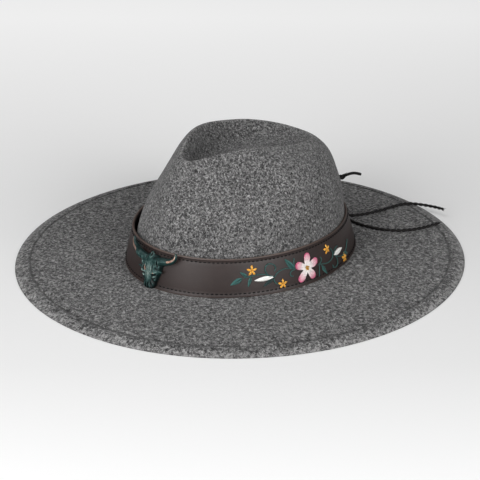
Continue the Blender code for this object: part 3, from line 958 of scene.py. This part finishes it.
def make_band_stitches():
    """Two rows of dark lockstitch in the grooves along the strap's edges."""
    bundle = Bundle()
    length = BAND_BACK + RIGHT_RUN - BAND_GAP - 2 * STITCH_MARGIN
    count = round(length / STITCH_PITCH)
    share = np.linspace(0.0, 1.0, 5)
    lift = 0.00002 + STITCH_ARCH * np.sin(math.pi * share) ** 0.7
    slant = STITCH_SLANT * (share - 0.5)
    for up in (GROOVE_AT, BAND_HEIGHT - GROOVE_AT):
        for k in range(count):
            start = BAND_GAP / 2 + STITCH_MARGIN - RIGHT_RUN + k * length / count
            across = start + share * STITCH_LENGTH
            centre = band_face.spot(across, up + slant, lift)
            normal = band_face.normal(band_face.angle_at(across), up)
            bundle.add(centre, STITCH_RADIUS * STITCH_TAPER, 6, normal, 0.8, THREAD_BLACK)
    bundle.piece("edge_stitches", thread_finish("waxed_thread", 0.80, 0.0), "brown_leather")


# Colours of the embroidery's threads.
TEAL = (0.024, 0.088, 0.080)
DEEP_TEAL = (0.007, 0.024, 0.023)
YELLOW = (0.80, 0.36, 0.035)
PALE_YELLOW = (0.88, 0.58, 0.16)
WHITE = (0.88, 0.87, 0.84)
PINK = (0.62, 0.10, 0.22)
PALE_PINK = (0.80, 0.50, 0.56)

# Embroidery on the strap, in millimetres round it from the front and up from its lower edge.
STEMS = (
    ((82.2, 15.6), (85.2, 16.2), (89.4, 16.5), (94.2, 17.2), (98.6, 16.8), (102.5, 15.6),
     (105.4, 14.4), (108.1, 13.4)),
    ((103.5, 15.0), (101.3, 17.5), (100.3, 20.6), (101.3, 23.4), (104.0, 24.6), (107.4, 23.7),
     (109.5, 21.8), (110.0, 19.7), (108.1, 18.1)),
    ((108.1, 12.8), (109.5, 14.7), (111.9, 16.8), (115.5, 17.8), (119.6, 18.1), (123.8, 16.8),
     (128.1, 15.6)),
    ((107.6, 12.2), (107.8, 10.0), (109.3, 7.8), (111.2, 6.6)),
    ((127.8, 24.6), (126.9, 21.2), (127.4, 16.8)),
    ((127.6, 15.3), (124.1, 15.0), (122.4, 13.1), (123.6, 10.6), (125.7, 10.3)),
    ((151.9, 12.5), (156.1, 11.9), (161.7, 10.6), (166.6, 10.6), (171.0, 12.2), (172.9, 15.3),
     (171.3, 19.3), (170.3, 20.9)),
    ((153.1, 12.8), (156.1, 14.0), (157.0, 15.6), (155.9, 17.8)),
    ((153.5, 11.9), (152.6, 7.5), (151.9, 2.8)),
    ((173.6, 14.7), (176.7, 17.8), (181.9, 19.0)),
    ((175.0, 13.4), (177.9, 8.7), (177.6, 5.0), (173.6, 3.1), (170.3, 4.4), (170.1, 6.6)),
    ((176.9, 11.9), (181.9, 9.4), (189.3, 8.7), (195.6, 10.6), (199.4, 13.7), (202.4, 16.2)),
)
LEAVES = (
    # base, tip, half width, tone
    ((81.2, 15.4), (72.0, 10.4), 2.1, TEAL),
    ((85.2, 16.6), (79.5, 20.2), 1.2, TEAL),
    ((88.4, 15.8), (86.0, 8.4), 1.3, TEAL),
    ((107.4, 12.6), (98.8, 7.0), 1.6, DEEP_TEAL),
    ((126.8, 16.0), (118.8, 25.4), 2.1, TEAL),
    ((156.1, 10.8), (161.3, 2.2), 1.7, TEAL),
    ((197.2, 5.9), (189.6, 10.2), 1.1, TEAL),
)
BUDS = (
    # base, tip, half width
    ((107.8, 13.6), (91.4, 12.6), 1.8),
    ((174.4, 13.6), (188.2, 14.5), 2.3),
)
STARS = (
    # across, up, turn in degrees, reach
    (89.2, 20.9, 90.0, 4.5),
    (115.3, 6.2, 88.0, 4.2),
    (165.7, 21.5, 96.0, 4.3),
    (189.8, 5.3, 84.0, 4.2),
)
STAR_SPREAD = (-1.0, -0.6, -0.2, 0.2, 0.6, 1.0)
FLOWER = (139.8, 13.7)
PETAL_TIPS = ((141.7, 25.6), (152.0, 17.3), (146.8, 3.6), (131.2, 3.9), (128.6, 18.6))
PETAL_HALF_WIDTH = 3.0

# Radii of the threads, and their spacing in leaves and buds, in millimetres.
THREAD = 0.27
STEM_THREAD = 0.40
STAR_THREAD = 0.32
SEED_THREAD = 0.50
LEAF_SPACING = 0.46
BUD_SPACING = 0.42


def toned(colour, share):
    """A colour times a share, as an array."""
    return np.array(colour) * share


def line_between(base, tip):
    """A line's start, its run, its length and the direction to its left."""
    base, tip = np.array(base), np.array(tip)
    along = tip - base
    length = np.linalg.norm(along)
    return base, along, length, np.array([-along[1], along[0]]) / length


def heading(angle):
    return np.array([math.cos(angle), math.sin(angle)])


def stitch(bundle, start, end, lift, radius, tone_start, tone_end=None, steps=5):
    """One thread on the strap's face from start to end, in millimetres, arched by lift."""
    share = np.linspace(0.0, 1.0, steps)
    across = (start[0] + share * (end[0] - start[0])) * MM
    up = (start[1] + share * (end[1] - start[1])) * MM
    panel = PANEL_CROWN * np.sin(math.pi * np.clip(up / BAND_HEIGHT, 0, 1))
    out = panel + 0.00016 + MM * lift * np.sin(math.pi * share) ** 0.8
    centre = band_face.spot(across, up, out)
    normal = band_face.normal(band_face.angle_at(across), up)
    shade = random.uniform(0.86, 1.12)
    tone_end = tone_start if tone_end is None else tone_end
    tone = shade * (np.array(tone_start) + share[:, None] * (np.array(tone_end) - tone_start))
    radii = MM * radius * (0.62 + 0.38 * np.sin(math.pi * share) ** 0.6)
    bundle.add(centre, radii, 6, normal, 0.85, np.clip(tone, 0.0, 1.0))


def sew_stem(bundle, points, tone):
    """Stem stitch: short slanted threads that overlap like a rope."""
    route = smooth_route([(across, up, 0.0) for across, up in points], 1.15)[0][:, :2]
    ahead = unit(np.gradient(route, axis=0))
    side = np.column_stack([-ahead[:, 1], ahead[:, 0]])
    for k in range(len(route) - 1):
        last = min(k + 2, len(route) - 1)
        start, end = route[k] - 0.20 * side[k], route[last] + 0.20 * side[last]
        stitch(bundle, start, end, 0.44, STEM_THREAD, tone)


def sew_leaf(bundle, base, tip, half_width, tone):
    """Fishbone leaf: slanted threads from a middle vein to both edges."""
    base, along, length, side = line_between(base, tip)
    count = round(length / LEAF_SPACING)
    for k in range(count + 1):
        share = k / count
        start = base + along * share
        reach = min(1.0, share + 0.22 + 0.10 * (1 - share))
        wide = half_width * math.sin(math.pi * min(1.0, 0.10 + 0.88 * reach) ** 0.85) ** 0.8
        for way in (-1, 1):
            end = base + along * reach + way * side * max(wide, 0.12)
            stitch(bundle, start, end, 0.36, THREAD, tone if way > 0 else toned(tone, 1.35))
    stitch(bundle, base, base + 0.75 * along, 0.62, 0.20, toned(tone, 0.5), steps=7)


def sew_bud(bundle, base, tip, half_width):
    """White padded satin bud: slanted threads from a middle line to a lens-shaped edge."""
    base, along, length, side = line_between(base, tip)
    count = round(length / BUD_SPACING)
    for k in range(count + 1):
        share = k / count
        start = base + along * share * 0.97
        reach = min(1.0, share + 0.16)
        wide = half_width * math.sin(math.pi * min(1.0, 0.04 + 0.94 * reach)) ** 0.85
        for way in (-1, 1):
            end = base + along * reach + way * side * wide
            stitch(bundle, start - way * 0.1 * side, end, 0.5, THREAD, WHITE)
    stitch(bundle, base, tip, 0.9, 0.26, WHITE, steps=9)


def sew_star(bundle, across, up, turn, reach):
    """Five-pointed blossom of yellow satin stitch."""
    centre = np.array([across, up])
    for k in range(5):
        ahead = heading(math.radians(turn + 72 * k))
        side = np.array([-ahead[1], ahead[0]])
        for share in STAR_SPREAD:
            start = centre + 0.25 * ahead + 0.22 * share * side
            end = centre + reach * (1.04 - 0.30 * abs(share)) * ahead + 0.78 * share * side
            tone = YELLOW if share < 0.3 else PALE_YELLOW
            stitch(bundle, start, end, 0.62, STAR_THREAD, toned(YELLOW, 0.85), tone)


def sew_petal(bundle, centre, tip):
    """Round petal in long and short stitch that turns from white to pink at the rim."""
    centre, along, length, side = line_between(centre, tip)
    ahead = along / length
    half = PETAL_HALF_WIDTH
    white, pale, pink = np.array(WHITE), np.array(PALE_PINK), np.array(PINK)
    for share in np.linspace(-1.0, 1.0, 21):
        edge = half * share
        rim = length - half + half * math.sqrt(max(0.0, 1 - share * share)) * 0.98
        root = 0.9 + 0.5 * random.random()
        foot = centre + root * ahead + 0.60 * edge * side
        split = length * random.uniform(0.46, 0.62)
        knee = centre + split * ahead + (0.82 + 0.16 * split / length) * edge * side
        stitch(bundle, foot, knee, 0.45, THREAD, white, white * 0.6 + pale * 0.4)
        begin = centre + (split - random.uniform(0.6, 1.8)) * ahead + 0.90 * edge * side
        end = centre + rim * ahead + edge * side
        strength = 0.35 + 0.65 * abs(share) ** 1.5
        middle = pale * (1 - 0.5 * strength) + pink * 0.5 * strength
        inner, outer = pale * 0.40 + white * 0.60, pink * 0.8 + middle * 0.2
        stitch(bundle, begin, end, 0.52, THREAD, inner, outer)
    for share in np.linspace(-1.0, 1.0, 19):
        angle = share * math.radians(100)
        outward = math.cos(angle) * ahead + math.sin(angle) * side
        bow = centre + (length - half) * ahead + half * outward
        inward = bow - random.uniform(0.9, 1.9) * outward
        stitch(bundle, bow, inward, 0.46, THREAD, pink, pink * 0.7 + pale * 0.3)


def sew_knots(bundle, centre):
    """Yellow seed knots in the flower's heart."""
    for k in range(11):
        angle = 2.4 * k
        at = np.array(centre) + 0.58 * math.sqrt(k) * heading(angle)
        half = 0.34 * heading(angle + 1)
        tone = toned(PALE_YELLOW if k % 2 else YELLOW, 0.75 if k % 3 else 0.5)
        stitch(bundle, at - half, at + half, 0.95, SEED_THREAD, tone)


def make_embroidery():
    """The folk flowers on the strap's left side, in three pieces."""
    finish = thread_finish("embroidery_thread", 0.45, 0.15)
    green = Bundle()
    for points in STEMS:
        sew_stem(green, points, TEAL)
    for base, tip, half_width, tone in LEAVES:
        sew_leaf(green, base, tip, half_width, tone)
    green.piece("stems_and_leaves", finish, "brown_leather")
    bright = Bundle()
    for star in STARS:
        sew_star(bright, *star)
    for bud in BUDS:
        sew_bud(bright, *bud)
    bright.piece("stars_and_buds", finish, "brown_leather")
    flower = Bundle()
    for tip in PETAL_TIPS:
        sew_petal(flower, FLOWER, tip)
    sew_knots(flower, FLOWER)
    flower.piece("pink_flower", finish, "brown_leather")


# The skull's carving in its own millimetres: place, half size, lean in degrees and height, mirrored.
SKULL_CARVING = (
    # across, up, half_wide, half_high, lean, height
    (5.6, 11.4, 2.4, 2.0, 20.0, -2.1),
    (5.7, 11.2, 1.9, 1.15, 20.0, 2.2),
    (5.6, 14.7, 2.7, 0.75, 15.0, 1.1),
    (8.7, 12.2, 0.8, 2.2, 12.0, 0.8),
    (7.3, 17.5, 1.2, 1.5, 0.0, -0.5),
    (2.4, 18.2, 0.45, 3.2, 5.0, -0.6),
    (3.3, 18.0, 0.45, 3.0, 5.0, 0.8),
    (4.4, 18.0, 0.6, 3.0, 8.0, -1.0),
    (5.6, 17.8, 0.5, 2.4, 8.0, 0.5),
    (0.0, 9.0, 1.2, 4.5, 0.0, 0.4),
    (1.3, 3.4, 0.6, 2.9, 4.0, -1.9),
    (2.5, 4.0, 0.45, 2.9, 6.0, 0.8),
    (0.0, 3.0, 0.45, 3.2, 0.0, 0.5),
    (3.6, 4.4, 0.55, 2.4, 12.0, -1.1),
    (4.6, 5.0, 0.4, 2.2, 14.0, 0.5),
    (4.3, 8.0, 1.0, 2.0, 24.0, -0.9),
    (2.8, 10.5, 0.6, 2.8, 12.0, 0.5),
    (6.7, 8.2, 0.9, 1.3, 30.0, 0.6),
    (8.6, 22.3, 0.5, 2.8, -8.0, -1.3),
    (7.5, 22.0, 0.45, 2.6, -8.0, 0.7),
    (9.9, 22.3, 0.45, 2.8, -8.0, 0.6),
)


def patina_finish():
    """Cast metal under green patina: dark in its hollows, paler on crests, with bare copper on the
    horns' tips and brow that also stands in for highlights, and a painted glint.
    """
    finish = Finish("green_patina_cast")
    place = finish.place()
    height = finish.node("Attribute", {"attribute_name": "crest"}, out=2)
    # Bare copper that also paints highlights, with a painted glint.
    worn = finish.node("Attribute", {"attribute_name": "worn"}, out=2)
    blotch = finish.noise(place, 420.0, 4.0, 0.6)
    fine = finish.noise(place, 1900.0, 3.0, 0.6)
    raised = (height + (blotch - 0.5) * 0.75 + (fine - 0.5) * 0.45).between(-0.1, 1.1)
    shade = finish.ramp(raised, PATINA_TONES)
    # Copper where the patina is off, placed partly as painted highlights on the horns and a painted
    # glint on the brow.
    rubbed = (worn + (fine - 0.5) * 0.5 + (blotch - 0.5) * 0.3).between(0.42, 0.62)
    copper = finish.ramp(blotch, COPPER_TONES)
    finish.surface(Specular_IOR_Level=0.5)
    return finish.surface(
        Base_Color=finish.mix(rubbed, shade, copper),
        Metallic=0.35 + rubbed * 0.55,
        Roughness=0.46 - rubbed * 0.14 + (fine - 0.5) * 0.2,
        Normal=finish.bump(fine + blotch, 0.00012, 0.7),
    )


def skull_chart(points):
    """Places on the skull in its own millimetres: across, up and out."""
    across, up, out = (value / MM for value in band_face.chart(points))
    height = SKULL_HEIGHT / MM
    across = across - SKULL_ACROSS / MM
    up = up - SKULL_FOOT / MM + MUZZLE_DROOP * out * np.clip(1 - up / height, 0.0, 1.0)
    pivot = SKULL_PIVOT * height
    cosine, sine = math.cos(SKULL_TURN), math.sin(SKULL_TURN)
    flat_across = across * cosine + (up - pivot) * sine
    flat_up = pivot - across * sine + (up - pivot) * cosine
    return flat_across, flat_up, out


def carving(across, up):
    """Height of the carved relief at places on the skull's face, in millimetres."""
    total = np.zeros(len(across))
    for at, high, half_wide, half_high, lean, height in SKULL_CARVING:
        turn = math.radians(lean)
        x = np.abs(across) - at
        y = up - high
        wide = (x * math.cos(turn) + y * math.sin(turn)) / half_wide
        tall = (y * math.cos(turn) - x * math.sin(turn)) / half_high
        total += height * np.exp(-((wide**2 + tall**2) ** 1.4))
    brow = hump(across, 2.6, 4) * hump(up - 17.5, 6.5, 4)
    total += 0.17 * brow * np.sin(5.2 * across + 1.4 * np.sin(2.2 * up)) * np.sin(3.1 * up + across)
    return total + 0.30 * hump(up - 0.6, 1.2, 4) * np.cos(4.4 * across)


def join_ears(piece):
    """Adds two short spikes beside the brow."""
    ears = Bundle()
    share = np.linspace(0.0, 1.0, 6)
    for side in (-1, 1):
        across = SKULL_ACROSS + side * (EAR_START + EAR_LENGTH * share)
        up = SKULL_FOOT + EAR_HEIGHT + side * 0.0004 + 0.0006 * share
        ear = band_face.spot(across, up, 0.0024 + 0.0022 * share)
        ears.add(ear, EAR_RADIUS * (1 - share) ** 0.8 + 0.0002, 10, (0.1, -1.0, 0.05), 0.8)
    tool = ears.piece("ears", piece.data.materials[0], "green_patina")
    joined = bmesh.new()
    joined.from_mesh(piece.data)
    joined.from_mesh(tool.data)
    joined.to_mesh(piece.data)
    joined.free()
    bpy.data.objects.remove(tool)


def recast(piece):
    """Makes the casting one fine and even skin."""
    cast = piece.modifiers.new("cast", "REMESH")
    cast.mode = "VOXEL"
    cast.voxel_size = SKULL_VOXEL
    even = piece.modifiers.new("even", "SMOOTH")
    even.factor = 0.5
    even.iterations = 4
    apply_modifiers(piece)
    piece.data.shade_smooth()


def add_value(mesh, name, values):
    layer = mesh.attributes.new(name, "FLOAT", "POINT")
    layer.data.foreach_set("value", np.asarray(values, dtype=float))


def carve(mesh):
    """Carves the casting by its chart, and marks its crests, its bare copper and its painted highlights.
    """
    points = read_vectors(mesh, "co")
    normals = read_vectors(mesh, "normal")
    across, up, out = skull_chart(points)
    beside = np.abs(across)
    away = unit(points * (1.0, 1.0, 0.0))
    facing = (normals * away).sum(axis=1)
    head = smoothstep(-beside, -11.8, -10.8)
    relief = carving(across, up) * smoothstep(facing, 0.10, 0.55) * smoothstep(out, 1.2, 2.4) * head
    horn = smoothstep(beside, 10.0, 12.0)
    rings = 0.09 * horn * smoothstep(-beside, -25.5, -12.0) * np.sin(4.6 * across)
    lean = HORN_LEAN * (across < 0) * smoothstep(beside, 12.5, 21.0)
    cheek = hump(beside - 7.5, 3.2, 4) * hump(up - 15.0, 6.5, 4) * smoothstep(out, 0.8, 2.0) * head
    fuller = HORN_FULLER * horn * (1 - 0.5 * smoothstep(beside, 15.3, 18.0))
    points += (relief + rings - lean + CHEEK_FULLER * cheek)[:, None] * MM * away
    points += fuller[:, None] * MM * normals
    mesh.vertices.foreach_set("co", points.ravel())
    mesh.update()
    add_value(mesh, "crest", crests(across, up, out, facing, relief))
    add_value(mesh, "worn", copper_wear_and_highlights(across, up, away, normals))


def crests(across, up, out, facing, relief):
    """How raised each place looks, which the patina's tones follow."""
    beside = np.abs(across)
    eye = hump(np.hypot((beside - 5.7) / 1.7, (up - 11.2) / 1.1), 1.0, 4)
    to_ring = np.hypot(across, up - SKULL_HEIGHT / MM - 0.8)
    ring = 0.35 * hump(to_ring - 1.5, 0.5) - 1.2 * smoothstep(-to_ring, -0.9, -0.6)
    forehead = 0.30 * hump(across, 3.0, 4) * hump(up - 16.5, 5.5, 4)
    muzzle = 0.22 * smoothstep(-up, -10.0, -5.0) * smoothstep(-beside, -11.8, -10.8)
    crest = 0.42 + 0.42 * relief + 0.20 * smoothstep(facing, 0.2, 0.95) - 0.3 * (out < 1.0)
    return crest + 0.45 * eye + ring + forehead - muzzle


def copper_wear_and_highlights(across, up, away, normals):
    """Bare copper and painted highlights: stripes on the horns' tips facing out, bare metal that also
    paints the highlights seen there, a streak of wear on the brow, and a painted glint.
    """
    beside = np.abs(across)
    on_left = across > 0
    upward = np.array((0.0, 0.0, 1.0))
    # The side of the horns whose copper stripe also paints the highlight seen on them.
    highlight_side = unit(0.95 * away - 0.14 * np.cross(upward, away) + 0.12 * upward)
    stripe = smoothstep((normals * highlight_side).sum(axis=1) - 0.05 * on_left, 0.82, 0.91)
    bare = smoothstep(beside, 15.3 + 1.6 * on_left, 18.0 + 1.6 * on_left)
    streak = hump(beside - 3.3 - 0.09 * (up - 18.0), 0.5) * hump(up - 18.0, 2.9, 4)
    # Painted glint on one side of the brow.
    glint = hump(across - 6.0, 0.7) * hump(up - 14.8, 0.5)
    return np.maximum(np.maximum(bare * stripe, (across < 0) * streak * 0.95), glint)


def make_skull():
    """The casting: its solid with ears, made fine and even, then carved."""
    piece = new_piece("cast_skull", solid_of("skull_ornament"), patina_finish())
    join_ears(piece)
    recast(piece)
    carve(piece.data)
    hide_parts("skull_ornament")


def make_back_lace(name, row, node, finish):
    """The lace across the strap's opening, from hole to hole, with its knot."""
    bundle = Bundle()
    up = row * BAND_HEIGHT
    stops = [
        band_face.spot(BAND_BACK + across * LACE_HOLE_ACROSS, up, out * LACE_DIAMETER)
        for across, out in LACE_STOPS
    ]
    points = smooth_route(stops, 0.4 * LACE_DIAMETER)[0]
    twist(bundle, points, LACE_DIAMETER)
    middle = band_face.spot(BAND_BACK, up, LACE_DIAMETER + KNOT_OUT)
    knot(bundle, middle, (0.0, 1.0, 0.0), (0.0, 0.0, 1.0), KNOT_WIDTH, LACE_DIAMETER)
    piece = bundle.piece(name, finish, "black_lace")
    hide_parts(node)


def make_lace_ends():
    """The frayed tips, and the tail's small knot with its loose hairs."""
    bundle = Bundle()
    for route, count in ((far_route, 9), (near_route, 5)):
        fray(bundle, route[-1], route[-2], count)
    at = tail_route[round(TAIL_KNOT_SHARE * (len(tail_route) - 1))]
    knot(bundle, at, TAIL_KNOT_OUT, (0.0, 0.0, 1.0), TAIL_KNOT_WIDTH, TAIL_KNOT_DIAMETER)
    fray(bundle, at + np.array((0.0016, 0.0, 0.0028)), at, 5, 0.0030)
    fray(bundle, at + np.array((-0.0016, 0.0, -0.0022)), at, 5, 0.0026)
    bundle.piece("frayed_tips_and_knot", black_lace, "black_lace")


make_felt()
make_band()
make_band_stitches()
make_embroidery()
make_skull()
make_back_lace("back_braid_upper", LACE_ROWS[1], "back_lace_upper", black_lace)
make_back_lace("back_braid_lower", LACE_ROWS[0], "back_lace_lower", black_lace)
make_lace_ends()
